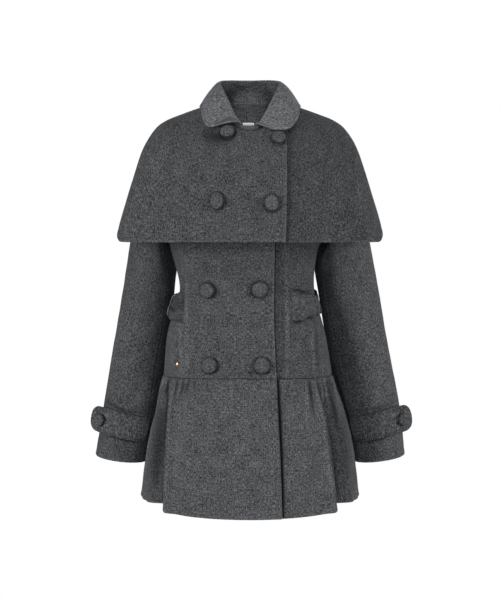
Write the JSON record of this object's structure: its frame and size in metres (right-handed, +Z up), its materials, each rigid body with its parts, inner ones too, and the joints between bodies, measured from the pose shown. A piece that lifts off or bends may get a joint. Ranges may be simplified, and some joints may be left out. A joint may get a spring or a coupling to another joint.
{
  "type": "wool cape coat",
  "caption": "Double-breasted wool coat with a shoulder cape, turned-down collar, half belt, cuff straps and gathered skirt, filled out and hollow.",
  "frame": {"origin": "middle of the neck opening, level with the foot of the collar at the sides, where a wearer carries the coat", "axes": "+Z up, -Y the front, +X the wearer's left"},
  "size_m": [0.5918, 0.3057, 0.7617],
  "materials": {
    "charcoal_wool": "brushed melange wool coating, soft and matt",
    "covered_button": "button covered in the coat's own cloth",
    "brass": "polished",
    "label_white": "plain woven satin label"
  },
  "bodies": {
    "root": {"collar_stand": "charcoal_wool", "collar_fall": "charcoal_wool", "cape_front_right": "charcoal_wool", "cape_front_left": "charcoal_wool", "cape_back": "charcoal_wool", "front_right": "charcoal_wool", "front_left": "charcoal_wool", "side_front_right": "charcoal_wool", "side_front_left": "charcoal_wool", "back": "charcoal_wool", "skirt_front_right": "charcoal_wool", "skirt_front_left": "charcoal_wool", "skirt_back": "charcoal_wool", "sleeve_upper_right": "charcoal_wool", "sleeve_under_right": "charcoal_wool", "sleeve_upper_left": "charcoal_wool", "sleeve_under_left": "charcoal_wool", "cuff_strap_right": "charcoal_wool", "cuff_strap_left": "charcoal_wool", "waist_belt": "charcoal_wool", "belt_keeper_right": "charcoal_wool", "belt_keeper_left": "charcoal_wool", "button_neck_right": "covered_button", "button_neck_left": "covered_button", "button_cape_right": "covered_button", "button_cape_left": "covered_button", "button_waist_right": "covered_button", "button_waist_left": "covered_button", "button_hip_right": "covered_button", "button_hip_left": "covered_button", "cuff_button_right": "covered_button", "cuff_button_left": "covered_button", "front_stud": "brass", "neck_label": "label_white"}
  },
  "joints": []
}
